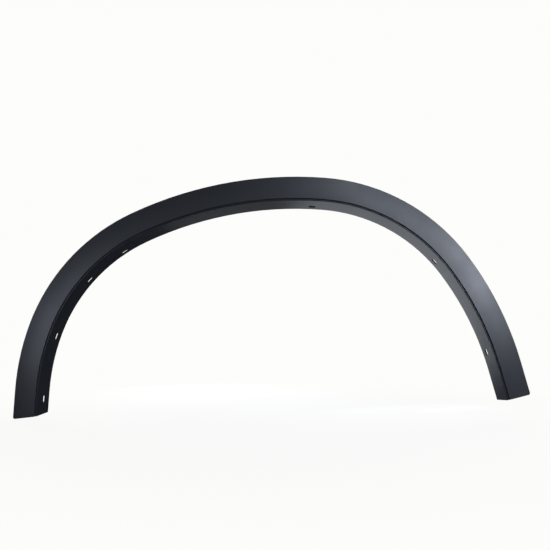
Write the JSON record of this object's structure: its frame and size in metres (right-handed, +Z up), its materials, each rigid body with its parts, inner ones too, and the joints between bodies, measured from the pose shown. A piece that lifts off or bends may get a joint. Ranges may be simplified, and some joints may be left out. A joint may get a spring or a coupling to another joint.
{
  "type": "wheel arch trim",
  "caption": "Moulded wheel arch trim with a crowned face band, a groove at its crease and a slotted flange turned back into the wheel opening",
  "frame": {"origin": "on the rear edge of the outer rim, at the middle of the rim's wall and at the top of the arch", "axes": "as fitted: +X along the car, towards the steep leg; +Y from the outside of the car in to the body, square to the rim's plane; +Z up"},
  "size_m": [0.8834, 0.0279, 0.4141],
  "materials": {
    "grained_plastic": "finely grained satin moulding, dark grey all through"
  },
  "bodies": {
    "root": {"arch_trim": "grained_plastic"}
  },
  "joints": []
}
